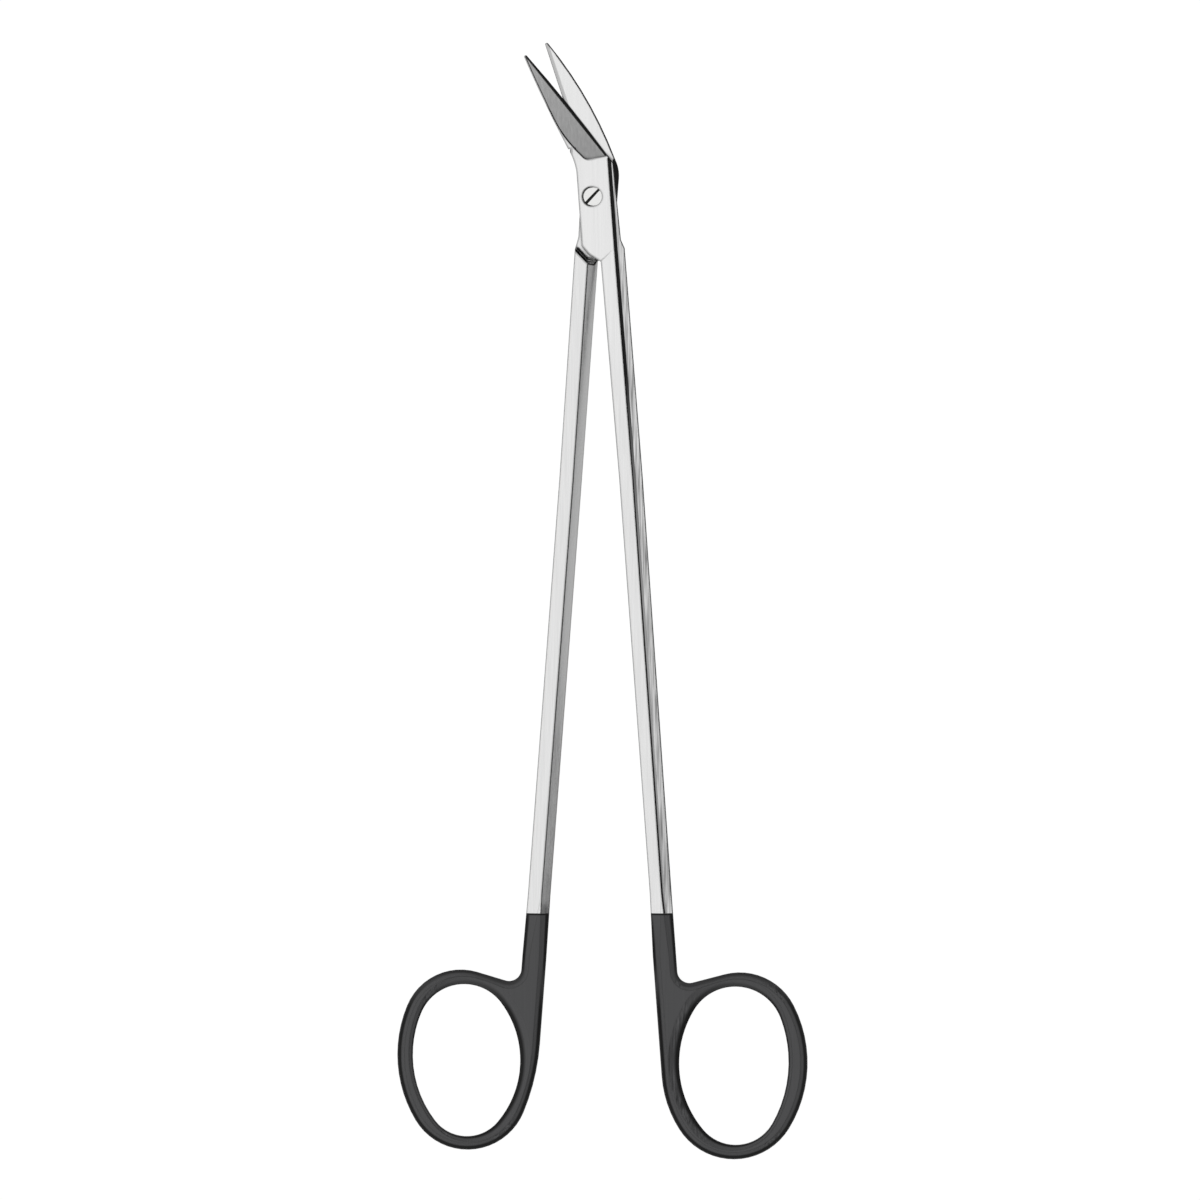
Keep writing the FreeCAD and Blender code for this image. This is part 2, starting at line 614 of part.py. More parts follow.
def makeBlade(body, limb, bendWay):
    """The half-thick boss and blade, with the step, the taper and the ground bevel."""
    outline = newSketch(body, limb + "blade_outline", "XY_Plane", "lap_face")
    drawOutline(outline, [
        (limb + "tip_edge_x", limb + "tip_edge_y", "tip_round"),
        (limb + "tip_spine_x", limb + "tip_spine_y", limb + "spine_curve"),
        (limb + "spine_x", limb + "spine_y", bendWay + limb + "boss_bend"),
        (limb + "boss_x", limb + "boss_high", None),
        (limb + "boss_x", limb + "boss_low", None),
        (limb + "corner_x", limb + "corner_y", None),
        (limb + "joint_inner", limb + "crotch_y", None),
        (limb + "joint_show_in_x", "joint_station", None),
        (limb + "joint_outer", "joint_station", None),
        (limb + "side_x", limb + "side_y", None),
        (limb + "edge_root_x", limb + "edge_root_y", limb + "edge_curve"),
    ])
    addPad(body, limb + "blade", outline, cell("lap_height"))
    edge = newSketch(body, limb + "boss_bevel_outline", "XZ_Plane", "joint_station", -1)
    drawOutline(edge, [
        (limb + "boss_in_x", "lap_face", None),
        (limb + "boss_out_x", "lap_face", None),
        (limb + "boss_out_x", "boss_bevel_high", None),
    ])
    bossRun = "%s - %s" % (cell(limb + "spine_y"), cell("joint_station"))
    addPocket(body, limb + "boss_bevel", edge, bossRun)
    taper = newSketch(body, limb + "taper_outline", "YZ_Plane")
    drawOutline(taper, [
        ("taper_start", "joint_thickness", None),
        ("blade_far", "taper_low", None),
        ("blade_far", "above", None),
        ("taper_start", "above", None),
    ])
    taperCut = addPocket(body, limb + "taper", taper, "4 * places.blade_far")
    taperCut.Midplane = True
    makeGrind(body, limb)
    bevel = newSketch(body, limb + "bevel_outline", "XZ_Plane", "joint_station", -1)
    drawOutline(bevel, [
        (limb + "joint_show_x", "joint_thickness", None),
        (limb + "joint_break_x", "joint_break_high", None),
        (limb + "bevel_far_x", limb + "bevel_far_low", None),
        (limb + "bevel_far_x", "above", None),
        (limb + "joint_show_x", "above", None),
    ])
    addPocket(body, limb + "bevel", bevel, "sizes.taper_start - sizes.joint_station")
    doc.recompute()


def makeGrind(body, limb):
    """The bevel that is ground from the spine down to the cutting edge, up to a step."""
    root = FreeCAD.Vector(value(limb + "edge_root_x"), value(limb + "edge_root_y"), 0)
    tip = FreeCAD.Vector(value(limb + "tip_edge_x"), value(limb + "tip_edge_y"), 0)
    swell = bulge(root, tip, value(limb + "edge_curve"))
    rise = math.radians(value("grind_angle"))
    height = value("lap_face") + value("edge_thickness") + swell * math.tan(rise)
    along = (tip - root).normalize()
    across = FreeCAD.Vector(-along.y, along.x, 0)
    slope = across * math.cos(rise) + FreeCAD.Vector(0, 0, math.sin(rise))
    turn = FreeCAD.Rotation(along, slope, along.cross(slope), "XYZ")
    outline = newSketch(body, limb + "grind_outline", "XY_Plane")
    outline.AttachmentOffset = FreeCAD.Placement(root + FreeCAD.Vector(0, 0, height), turn)
    drawOutline(outline, [
        ("grind_heel", "grind_near", None),
        ("blade_far", "grind_near", None),
        ("blade_far", "grind_far_across", None),
        ("grind_c_x", "grind_c_y", "grind_curve"),
        ("grind_b_x", "grind_b_y", "grind_corner"),
        ("grind_a_x", "grind_a_y", None),
    ])
    addPocket(body, limb + "grind", outline, "2 * sizes.joint_thickness", True)


def makeLimb(label, limb, bendWay):
    body = doc.addObject("PartDesign::Body", label)
    makeRing(body, limb)
    makeShank(body, limb)
    makeBlade(body, limb, bendWay)
    relief = newSketch(body, limb + "shoulder_outline", "XY_Plane", "lap_face")
    drawOutline(relief, [
        (limb + "relief_right", "shoulder_start", None),
        (limb + "relief_right", "taper_start", None),
        (limb + "relief_left", "taper_start", None),
        (limb + "relief_left", "shoulder_end", None),
        (limb + "joint_inner", "shoulder_end", None),
        (limb + "joint_back_x", "shoulder_middle", None),
        (limb + "joint_outer", "shoulder_start", None),
    ])
    addPocket(body, limb + "shoulder", relief, cell("joint_thickness"))
    groove = newSketch(body, limb + "groove_outline", "XY_Plane", "lap_face")
    drawOutline(groove, [
        (limb + "relief_right", "shoulder_start", None),
        (limb + "relief_right", "groove_start", None),
        (limb + "joint_outer", "groove_start", None),
        (limb + "joint_back_x", "groove_middle", None),
        (limb + "joint_inner", "groove_end", None),
        (limb + "relief_left", "groove_end", None),
        (limb + "relief_left", "shoulder_end", None),
        (limb + "joint_inner", "shoulder_end", None),
        (limb + "joint_back_x", "shoulder_middle", None),
        (limb + "joint_outer", "shoulder_start", None),
    ])
    floor = newSketch(body, limb + "groove_floor_outline", "XY_Plane", "groove_high")
    drawOutline(floor, [
        (limb + "relief_right", "floor_near_start", None),
        (limb + "relief_right", "floor_far_start", None),
        (limb + "joint_outer", "floor_far_start", None),
        (limb + "joint_back_x", "floor_far_middle", None),
        (limb + "joint_inner", "floor_far_end", None),
        (limb + "relief_left", "floor_far_end", None),
        (limb + "relief_left", "floor_near_end", None),
        (limb + "joint_inner", "floor_near_end", None),
        (limb + "joint_back_x", "floor_near_middle", None),
        (limb + "joint_outer", "floor_near_start", None),
    ])
    addCut(body, limb + "groove", groove, floor)
    return body


def drillRound(body, name, radiusAlias, footAlias):
    """A round hole on the pivot axis, from a height up through the show face."""
    sketch = newSketch(body, name + "_circle", "XY_Plane", footAlias)
    circle = Part.Circle(FreeCAD.Vector(0, 0, 0), FreeCAD.Vector(0, 0, 1), value(radiusAlias))
    number = sketch.addGeometry(circle, False)
    sketch.addConstraint(Sketcher.Constraint("Coincident", number, 3, -1, 1))
    hold(sketch, Sketcher.Constraint("Radius", number, value(radiusAlias)), cell(radiusAlias))
    addPocket(body, name, sketch, "2 * sizes.joint_thickness", True)


def makeScrew():
    """The pivot screw: a flush slotted head and a shaft that ends flush at the back."""
    body = doc.addObject("PartDesign::Body", "pivot_screw")
    profile = newSketch(body, "screw_profile", "XZ_Plane")
    drawOutline(profile, [
        ("zero", "zero", None),
        ("shaft_radius", "zero", None),
        ("shaft_radius", "head_foot", None),
        ("head_radius", "head_foot", None),
        ("head_radius", "head_side", None),
        ("head_flat", "joint_thickness", None),
        ("zero", "joint_thickness", None),
    ])
    turned = body.newObject("PartDesign::Revolution", "screw_turned")
    turned.Profile = profile
    turned.ReferenceAxis = (profile, ["V_Axis"])
    turned.Angle = 360
    doc.recompute()
    slot = newSketch(body, "slot_outline", "XY_Plane", "slot_low")
    drawOutline(slot, [
        ("slot_reach_low", "slot_left", None),
        ("slot_reach_high", "slot_left", None),
        ("slot_reach_high", "slot_right", None),
        ("slot_reach_low", "slot_right", None),
    ])
    addPocket(body, "slot", slot, "2 * sizes.slot_depth", True)
    doc.recompute()
    body.Placement = FreeCAD.Placement(FreeCAD.Vector(), FreeCAD.Rotation(value("slot_turn"), 0, 0))
    return body


front = makeLimb("front_limb", "front_", "-")
drillRound(front, "front_bore", "bore_radius", "zero")
drillRound(front, "front_seat", "seat_radius", "seat_foot")
rear = makeLimb("rear_limb", "rear_", "")
drillRound(rear, "rear_thread", "shaft_radius", "zero")
screw = makeScrew()

upAxis = FreeCAD.Vector(0, 0, 1)
turnOver = FreeCAD.Rotation(FreeCAD.Vector(0, 1, 0), 180)
onBack = FreeCAD.Placement(FreeCAD.Vector(0, 0, value("joint_thickness")), turnOver)
front.Placement = FreeCAD.Placement(FreeCAD.Vector(), FreeCAD.Rotation(upAxis, value("front_turn")))
rearTurn = FreeCAD.Placement(FreeCAD.Vector(), FreeCAD.Rotation(upAxis, -value("rear_turn")))
rear.Placement = rearTurn.multiply(onBack)
doc.recompute()

for item in doc.Objects:
    if "Invalid" in item.State or "Error" in item.State:
        raise RuntimeError("%s failed: %s" % (item.Label, item.State))
os.makedirs("parts", exist_ok=True)
for body in (front, rear, screw):
    shape = body.Shape
    if shape.isNull() or not shape.isValid() or len(shape.Solids) != 1:
        raise RuntimeError("%s is not one valid solid" % body.Label)
    shape.exportStep("parts/" + body.Label + ".step")
    print(body.Label, "volume", round(shape.Volume, 1), "box", shape.BoundBox)
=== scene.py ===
import math
import bpy
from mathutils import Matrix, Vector


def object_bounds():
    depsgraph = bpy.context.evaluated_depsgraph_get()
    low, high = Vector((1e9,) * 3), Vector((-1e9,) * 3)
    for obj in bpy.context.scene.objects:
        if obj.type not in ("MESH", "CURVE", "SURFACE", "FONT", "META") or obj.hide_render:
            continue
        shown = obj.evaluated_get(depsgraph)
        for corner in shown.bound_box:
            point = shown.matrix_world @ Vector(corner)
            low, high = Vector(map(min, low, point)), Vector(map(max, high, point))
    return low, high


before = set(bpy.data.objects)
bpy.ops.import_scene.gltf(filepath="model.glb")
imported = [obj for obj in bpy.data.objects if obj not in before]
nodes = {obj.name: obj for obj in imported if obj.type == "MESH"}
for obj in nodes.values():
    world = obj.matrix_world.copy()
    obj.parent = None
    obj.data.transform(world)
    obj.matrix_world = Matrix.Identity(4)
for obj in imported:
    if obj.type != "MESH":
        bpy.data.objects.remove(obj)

# Angled vascular scissors seen straight from above on a white table. All lengths are in metres.
# The three pieces are the two limbs and the pivot screw of the CAD frame. Their finishes are
# made here, from the part's own places: the blades point to +Y, the pivot is the origin.

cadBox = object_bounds()
print("frame loaded:", sorted(nodes))


def linear(hexColour):
    # sRGB hex to linear RGBA
    parts = [int(hexColour[i:i + 2], 16) / 255 for i in (1, 3, 5)]
    return [c / 12.92 if c <= 0.04045 else ((c + 0.055) / 1.055) ** 2.4 for c in parts] + [1.0]


def addNode(tree, kind, settings=None, links=None):
    # a node with its settings (attributes or input values) and its incoming links; a Mix node
    # takes numbers as inputs 2 and 3, vectors as 4 and 5, colours as 6 and 7
    node = tree.nodes.new(kind)
    for name, setting in (settings or {}).items():
        if isinstance(name, str) and hasattr(node, name) and name not in node.inputs:
            setattr(node, name, setting)
        else:
            node.inputs[name].default_value = setting
    for name, source in (links or {}).items():
        tree.links.new(source, node.inputs[name])
    return node


def combined(tree, operation, sources):
    # one value out of several, such as their product or the largest of them
    value = sources[0]
    for source in sources[1:]:
        value = addNode(tree, "ShaderNodeMath", {"operation": operation}, {0: value, 1: source}).outputs[0]
    return value


def mask(tree, source, limits):
    # rises from 0 to 1 between the first two limits; with four, it falls back between the others
    sides = [(limits[0], limits[1])]
    if len(limits) == 4:
        sides.append((limits[3], limits[2]))
    ramps = [addNode(tree, "ShaderNodeMapRange", {"From Min": start, "From Max": full}, {"Value": source})
             for start, full in sides]
    return combined(tree, "MULTIPLY", [ramp.outputs[0] for ramp in ramps])


def newMaterial(name):
    material = bpy.data.materials.new(name)
    material.use_nodes = True
    material.node_tree.nodes.clear()
    return material, material.node_tree


def dress(nodeName, material):
    slots = nodes[nodeName].data.materials
    slots.clear()
    slots.append(material)


# The limbs: forged stainless steel, belt-ground along the shanks and satin finished, which
# gives the eye pale flats and long fine streaks. The handles are black coated, which leaves a
# fine matt grain and soft grey highlights. The dark reflections along the edges of steel and
# coat and on the steep narrow breaks, and the shade in the hollows, are painted into the colour.
limbLook = {
    "steel": "#E4E4E4",
    "steelRough": 0.17,
    "markWidth": 0.17e-3,     # across one grinding mark, coarser than real so that it shows
    "markRun": 7e-3,          # along one grinding mark
    "markDepth": 2.8e-6,
    "streakWidth": 0.3e-3,    # across a band of marks on the steep flanks
    "streakRun": 14e-3,
    "streakSwing": (0.2, 3.0),   # contrast of those bands on the flats and on the outer flank
    "flankTilt": (16, 24, 32, 38),   # degrees to the right: the outer flank begins, full, full, ends
    "grainSize": 0.2e-3,      # blasted grain of the coating, coarser than real
    "noiseSpan": (0.3, 0.7),  # the values that nearly all of the marks and the grain lie between
    "roughSwing": (-0.04, 0.06),   # how they change the roughness

    "coat": "#4B4B4C",
    "coatRough": 0.42,
    "coatGloss": 0.22,        # specular level: a matt coat with little gloss
    "coatTop": -121.89e-3,    # where the coating ends, straight across at rest
    "coatBlur": 0.03e-3,      # how far its end is blurred to each side
    "coatEnd": (0.0, 0.05e-3, 0.25e-3, 0.4e-3),   # below its top, where its end is darkest
    "coatRim": (2.6e-3, 2.95e-3, 3.25e-3, 3.5e-3),   # height at which the rings' outlines are darkest
    "shankRim": (2.5e-3, 2.75e-3, 3.1e-3, 3.3e-3),   # the same for the coated ends of the shanks
    "ringTop": (-130e-3, -138e-3),   # where the shank passes into the ring

    "edgeRound": 0.4e-3,      # how far the polished edges are rounded
    # the dark lines along edges are painted reflections of the dark of the room
    "edgeReach": 0.38e-3,     # from an inner edge to where its dark line has faded
    "rimReach": 0.37e-3,      # the same for the outer edges of the steel
    "steelTurn": (0.992, 0.955),   # cosine of the turn at an edge: its line begins, is full
    "coatTurn": (0.985, 0.958),
    "coatLine": 0.4,          # how strong that line is on the coating
    "rimDepth": (0.94, 0.8),  # share of open metal below an outer edge: its line begins, is full
    "edgeShade": 0.03,        # share of the colour left on a sharp edge
    "edgeSides": (0.4, 1.9),  # how strong a line is on edges rounded to the left and to the right
    "sideLean": (0.0, 0.25),  # how far an edge leans to the right, from the one to the other
    "seatReach": (1.9e-3, 2.4e-3),   # round the pivot, where the edge of the screw's hole is fainter
    "seatLine": 0.6,          # how strong its line is
    # painted shade: the colour is darkened in hollows and notches
    "hollowReach": 1.2e-3,
    "hollowOpen": (0.8, 0.45),   # share of open air over a hollow: it begins to darken, is darkest
    "hollowShade": 0.05,      # share of the colour left deep in a notch

    # painted reflections: the steep narrow breaks and a thin line along the crest are darkened in colour
    "breakTilt": (36, 41, 51, 54),   # degrees off the flat: dark begins, full, full, ends
    "breakShade": 0.03,       # share of the colour left on the steep narrow breaks
    "breakBlur": 1.5e-3,      # how far the beginning of the breaks is blurred to each side
    "breakFade": (-75e-3, -30e-3),   # stations between which the breaks get dark
    "breakLeft": 0.12,        # how dark they are nearer to the rings
    "crest": (4.34e-3, -20e-3, 0.00347),   # the crest's height at a station, and its slope
    "crestLine": (0.34e-3, 0.2e-3),   # below the crest, between which its thin dark line ends

    "bladeSpan": (8e-3, 30e-3),   # from the root of the blades to near their tips
    "bladeBlur": 2e-3,        # how far the root is blurred
    "cutEdge": (0.6e-3, -0.333),   # the rear blade's cutting edge where y is 0, and its slope
    "backFrom": (0.9e-3, 1.4e-3),   # from that edge, between which the blade's back begins
}
# What differs between the two: how many degrees the shank is turned, from which station towards
# the tip its breaks are dark, and the blade's share of the colour at its root and near its tip.
limbs = {
    "front_limb": {"turn": 4.2, "breakFrom": -130e-3, "bladeShares": (0.93, 1.24)},
    "rear_limb": {"turn": -4.29, "breakFrom": -1e-3, "bladeShares": (1.0, 1.0)},
}
noiseMiddle = 0.5    # the values of a noise texture lie round this one


def drawnOut(tree, coords, turn, width, run, noise):
    # noise drawn out along the shank
    stretched = addNode(tree, "ShaderNodeMapping", {
        "Rotation": (0, 0, -math.radians(turn)), "Scale": (1 / width, 1 / run, 1 / width),
    }, {"Vector": coords})
    return addNode(tree, "ShaderNodeTexNoise", noise, {"Vector": stretched.outputs[0]}).outputs["Fac"]


def steelOrCoat(tree, coated, onSteel, onCoat):
    return addNode(tree, "ShaderNodeMix", {"data_type": "FLOAT"},
                   {"Factor": coated, 2: onSteel, 3: onCoat}).outputs[0]


def steelLines(tree, place, facing, near, surface, agreement, onBlade, look):
    # painted reflections: the colour of the bare steel is darkened along its edges, where they would mirror
    # the dark of the room, and along outer edges with little metal below them
    edge = mask(tree, agreement, look["steelTurn"])
    depth = addNode(tree, "ShaderNodeAmbientOcclusion", {
        "samples": 8, "inside": True, "only_local": True, "Distance": look["rimReach"],
    }).outputs["AO"]
    edge = combined(tree, "MAXIMUM", [edge, mask(tree, depth, look["rimDepth"])])
    # edges rounded to the right face the dark side of the room, so their painted dark lines are drawn
    # wider: painted shade by side
    turned = addNode(tree, "ShaderNodeVectorMath", {"operation": "SUBTRACT"}, {0: near, 1: surface})
    turned = addNode(tree, "ShaderNodeVectorTransform", {
        "vector_type": "VECTOR", "convert_from": "WORLD", "convert_to": "OBJECT",
    }, {"Vector": turned.outputs[0]})
    turned = addNode(tree, "ShaderNodeVectorMath", {"operation": "ADD"}, {0: turned.outputs[0], 1: facing})
    turned = addNode(tree, "ShaderNodeSeparateXYZ", links={"Vector": turned.outputs[0]})
    fainter, stronger = look["edgeSides"]
    sided = addNode(tree, "ShaderNodeMapRange", {
        "From Min": look["sideLean"][0], "From Max": look["sideLean"][1],
        "To Min": fainter, "To Max": stronger,
    }, {"Value": turned.outputs["X"]}).outputs[0]
    # the back of the rear blade is taken as rounded, its cutting edge isn't: along the back the painted
    # dark line is as strong as on edges rounded to the right
    edgePlace, edgeSlope = look["cutEdge"]
    offEdge = addNode(tree, "ShaderNodeMath", {"operation": "MULTIPLY_ADD", 1: -edgeSlope},
                      {0: place["Y"], 2: place["X"]})
    onBack = addNode(tree, "ShaderNodeMapRange", {
        "From Min": edgePlace + look["backFrom"][0], "From Max": edgePlace + look["backFrom"][1],
        "To Max": stronger,
    }, {"Value": offEdge.outputs[0]}).outputs[0]
    onBack = combined(tree, "MULTIPLY", [onBack, onBlade])
    sided = combined(tree, "MAXIMUM", [sided, onBack])
    return addNode(tree, "ShaderNodeMath", {"operation": "MULTIPLY", "use_clamp": True},
                   {0: edge, 1: sided}).outputs[0]


def coatLines(tree, place, agreement, look):
    # painted dark reflections along the edges of the coating and round the outlines of the rings and
    # shanks, and a darker band just below where the coating ends
    edge = addNode(tree, "ShaderNodeMapRange", {
        "From Min": look["coatTurn"][0], "From Max": look["coatTurn"][1], "To Max": look["coatLine"],
    }, {"Value": agreement}).outputs[0]
    onRing = mask(tree, place["Y"], look["ringTop"])
    onShank = addNode(tree, "ShaderNodeMath", {"operation": "SUBTRACT", 0: 1.0}, {1: onRing}).outputs[0]
    ringRim = combined(tree, "MULTIPLY", [mask(tree, place["Z"], look["coatRim"]), onRing])
    shankRim = combined(tree, "MULTIPLY", [mask(tree, place["Z"], look["shankRim"]), onShank])
    end = mask(tree, place["Y"], [look["coatTop"] - down for down in look["coatEnd"]])
    return combined(tree, "MAXIMUM", [edge, ringRim, shankRim, end])


def edgeLines(tree, coords, place, facing, coated, onBlade, look):
    # all painted dark reflections along edges, from 0 to 1, fainter round the hole of the screw
    near = addNode(tree, "ShaderNodeBevel", {"samples": 8, "Radius": look["edgeReach"]}).outputs[0]
    surface = addNode(tree, "ShaderNodeNewGeometry").outputs["Normal"]
    agreement = addNode(tree, "ShaderNodeVectorMath", {"operation": "DOT_PRODUCT"},
                        {0: surface, 1: near}).outputs["Value"]
    onSteel = steelLines(tree, place, facing, near, surface, agreement, onBlade, look)
    lines = steelOrCoat(tree, coated, onSteel, coatLines(tree, place, agreement, look))
    flatPlace = addNode(tree, "ShaderNodeVectorMath", {"operation": "MULTIPLY", 1: (1.0, 1.0, 0.0)},
                        {0: coords})
    fromPivot = addNode(tree, "ShaderNodeVectorMath", {"operation": "LENGTH"}, {0: flatPlace.outputs[0]})
    offSeat = addNode(tree, "ShaderNodeMapRange", {
        "From Min": look["seatReach"][0], "From Max": look["seatReach"][1], "To Min": look["seatLine"],
    }, {"Value": fromPivot.outputs["Value"]}).outputs[0]
    return combined(tree, "MULTIPLY", [lines, offSeat])


def breakLines(tree, place, upward, breakFrom, look):
    # the narrow breaks beside the flats are steep, and from one station on a dark reflection is painted on
    # them
    steep = mask(tree, upward, [math.cos(math.radians(tilt)) for tilt in look["breakTilt"]])
    reached = mask(tree, place["Y"], (breakFrom - look["breakBlur"], breakFrom + look["breakBlur"]))
    fade = addNode(tree, "ShaderNodeMapRange", {
        "From Min": look["breakFade"][0], "From Max": look["breakFade"][1],
        "To Min": look["breakLeft"], "To Max": 1.0,
    }, {"Value": place["Y"]}).outputs[0]
    # only a thin dark line along the crest, painted too, stays dark all the way
    crestHeight, station, slope = look["crest"]
    crest = addNode(tree, "ShaderNodeMath", {
        "operation": "MULTIPLY_ADD", 1: slope, 2: crestHeight - station * slope,
    }, {0: place["Y"]}).outputs[0]
    line = mask(tree, combined(tree, "SUBTRACT", [crest, place["Z"]]), look["crestLine"])
    return combined(tree, "MULTIPLY", [steep, reached, combined(tree, "MAXIMUM", [fade, line])])


def limbFinish(name, own, look):
    material, tree = newMaterial(name)
    texture = addNode(tree, "ShaderNodeTexCoord")
    coords, facing = texture.outputs["Object"], texture.outputs["Normal"]
    place = addNode(tree, "ShaderNodeSeparateXYZ", links={"Vector": coords}).outputs
    lean = addNode(tree, "ShaderNodeSeparateXYZ", links={"Vector": facing}).outputs
    # the coating ends in a crisp line straight across both handles
    coatTop, coatBlur = look["coatTop"], look["coatBlur"]
    coated = mask(tree, place["Y"], (coatTop + coatBlur, coatTop - coatBlur))
    bare = addNode(tree, "ShaderNodeMath", {"operation": "SUBTRACT", 0: 1.0}, {1: coated}).outputs[0]
    root, nearTip = look["bladeSpan"]
    onBlade = mask(tree, place["Y"], (root - look["bladeBlur"], root))

    # grinding marks run along the shank, single ones and wider bands of them
    marks = drawnOut(tree, coords, own["turn"], look["markWidth"], look["markRun"],
                     {"Scale": 1.0, "Detail": 3.0, "Roughness": 0.6})
    streaks = drawnOut(tree, coords, own["turn"], look["streakWidth"], look["streakRun"],
                       {"Scale": 1.0, "Detail": 2.0})
    grain = addNode(tree, "ShaderNodeTexNoise", {"Scale": 1 / look["grainSize"], "Detail": 2.0},
                    {"Vector": coords}).outputs["Fac"]

    # each share is what one effect leaves of the colour
    edgeShare = addNode(tree, "ShaderNodeMapRange", {"To Min": 1.0, "To Max": look["edgeShade"]}, {
        "Value": edgeLines(tree, coords, place, facing, coated, onBlade, look),
    })
    # painted shade: the colour is darkened in hollows and notches, where little open air is over them
    opening = addNode(tree, "ShaderNodeAmbientOcclusion", {"samples": 8, "Distance": look["hollowReach"]})
    hollowShare = addNode(tree, "ShaderNodeMapRange", {
        "From Min": look["hollowOpen"][0], "From Max": look["hollowOpen"][1],
        "To Min": 1.0, "To Max": look["hollowShade"],
    }, {"Value": opening.outputs["AO"]})
    # the outer flank of the shank is streaked more than the flats
    flank = mask(tree, lean["X"], [math.sin(math.radians(tilt)) for tilt in look["flankTilt"]])
    swing = addNode(tree, "ShaderNodeMapRange", {
        "To Min": look["streakSwing"][0], "To Max": look["streakSwing"][1],
    }, {"Value": flank})
    streak = addNode(tree, "ShaderNodeMath", {"operation": "SUBTRACT", 1: noiseMiddle}, {0: streaks})
    streakShare = addNode(tree, "ShaderNodeMath", {"operation": "MULTIPLY_ADD", 2: 1.0},
                          {0: streak.outputs[0], 1: swing.outputs[0]})
    dark = combined(tree, "MULTIPLY", [bare, breakLines(tree, place, lean["Z"], own["breakFrom"], look)])
    breakShare = addNode(tree, "ShaderNodeMapRange", {"To Min": 1.0, "To Max": look["breakShade"]},
                         {"Value": dark})
    # the blade's tone changes from its root to its tip
    atRoot, atTip = own["bladeShares"]
    along = addNode(tree, "ShaderNodeMapRange", {
        "From Min": root, "From Max": nearTip, "To Min": atRoot, "To Max": atTip,
    }, {"Value": place["Y"]})
    bladeShare = addNode(tree, "ShaderNodeMix", {"data_type": "FLOAT", 2: 1.0},
                         {"Factor": onBlade, 3: along.outputs[0]})
    shade = combined(tree, "MULTIPLY", [
        share.outputs[0] for share in (edgeShare, hollowShare, streakShare, breakShare, bladeShare)
    ])

    plain = addNode(tree, "ShaderNodeMix", {
        "data_type": "RGBA", 6: linear(look["steel"]), 7: linear(look["coat"]),
    }, {"Factor": coated}).outputs[2]
    colour = addNode(tree, "ShaderNodeVectorMath", {"operation": "SCALE"}, {0: plain, "Scale": shade})
    roughs = [
        addNode(tree, "ShaderNodeMapRange", {
            "From Min": look["noiseSpan"][0], "From Max": look["noiseSpan"][1],
            "To Min": middle + look["roughSwing"][0], "To Max": middle + look["roughSwing"][1],
        }, {"Value": noise}).outputs[0]
        for middle, noise in ((look["steelRough"], streaks), (look["coatRough"], grain))
    ]
    rough = steelOrCoat(tree, coated, roughs[0], roughs[1])
    rounded = addNode(tree, "ShaderNodeBevel", {"samples": 8, "Radius": look["edgeRound"]})
    bump = addNode(tree, "ShaderNodeBump", {"Distance": look["markDepth"], "Strength": 1.0},
                   {"Height": steelOrCoat(tree, coated, marks, grain), "Normal": rounded.outputs[0]})
    shader = addNode(tree, "ShaderNodeBsdfPrincipled", {"Specular IOR Level": look["coatGloss"]}, {
        "Base Color": colour.outputs[0], "Roughness": rough, "Metallic": bare, "Normal": bump.outputs[0],
    })
    addNode(tree, "ShaderNodeOutputMaterial", links={"Surface": shader.outputs[0]})
    return material


for limbName, own in limbs.items():
    dress(limbName, limbFinish(limbName + " ground steel and black coat", own, limbLook))
print("limbs finished")

# The pivot screw: turned stainless steel, polished, which gives the eye a bright head with
# faint rings. The dark slot is painted shade, and the dark line round the head, which fades
# to the right, is a painted reflection.
screwLook = {
    "steel": "#E6E6E5",
    "rough": 0.16,
    "ringWidth": 1.005e-3,    # from ring to ring, coarser than real so that it shows
    "ringDepth": 2e-6,
    "ringSway": 1.5,          # how uneven the rings are
    "edgeRound": 0.12e-3,
    "edgeTurn": (0.99, 0.9),  # cosine of the turn at an edge: its line begins, is full
    # the dark line round the head's edge is a painted reflection
    "edgeShades": (0.02, 1.0),   # share of the colour left on the head's edge, left and right
    "fadeSpan": (-0.3e-3, 0.9e-3),   # from left to right, where the dark line on that edge fades
    # the dark floor of the slot is painted shade
    "slotHeights": (4.3e-3, 3.95e-3),   # from the top of the slot to its floor
    "slotShade": 0.02,        # share of the colour left on its floor
}
waveTurn = 20    # radians that a wave texture of scale 1 turns through in a unit


